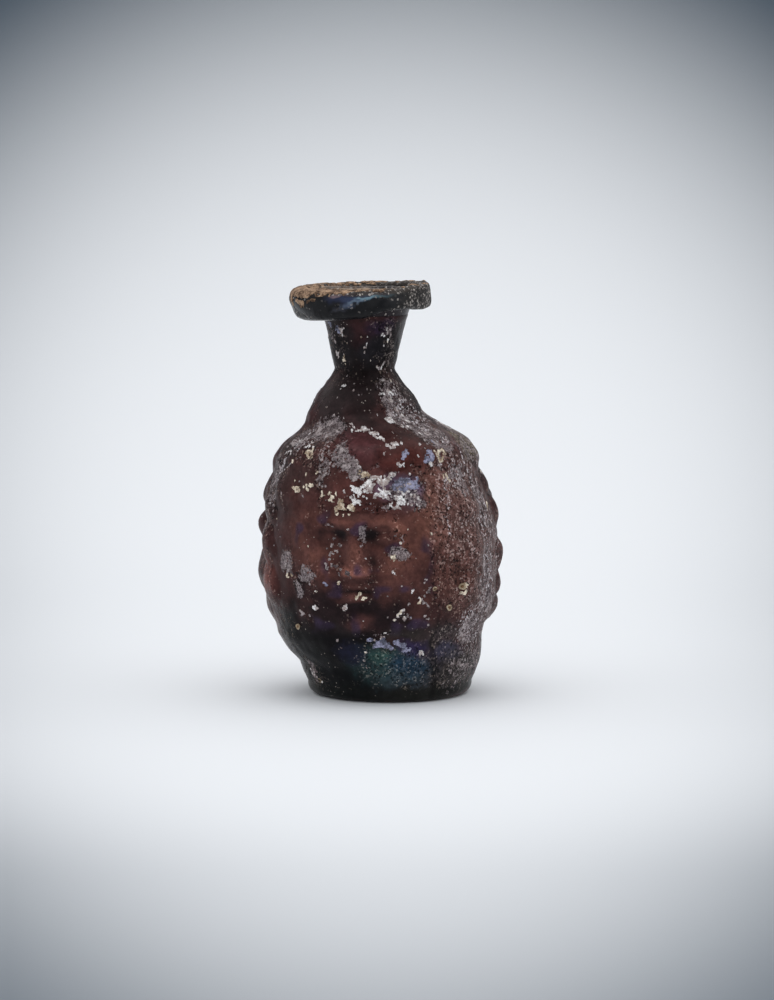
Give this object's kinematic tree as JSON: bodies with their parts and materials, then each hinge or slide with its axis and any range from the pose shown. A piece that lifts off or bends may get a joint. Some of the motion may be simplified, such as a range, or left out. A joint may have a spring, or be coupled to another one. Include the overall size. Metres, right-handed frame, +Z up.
{
  "type": "antique glass bottle",
  "caption": "Small mould-blown glass bottle in the form of two curly-haired heads back to back, with a round foot, funnel neck and folded collar rim.",
  "frame": {"origin": "centre of the flat base that the bottle stands on", "axes": "+Z up along the neck and out of the mouth, -Y the front of the bottle, +X its right as seen from the front"},
  "size_m": [0.0448, 0.0454, 0.0748],
  "materials": {
    "glass": "gloss",
    "grey_crust": "matte",
    "cream_flakes": "matte",
    "burial_soil": "matte"
  },
  "bodies": {
    "root": {"base": "glass", "foot": "glass", "body": "glass", "shoulder": "glass", "neck": "glass", "rim_lip": "glass", "rim_collar": "glass", "crust_shoulder": "grey_crust", "crust_right": "grey_crust", "crust_left": "grey_crust", "crust_front": "cream_flakes", "crust_foot": "grey_crust", "rim_soil": "burial_soil"}
  },
  "joints": []
}
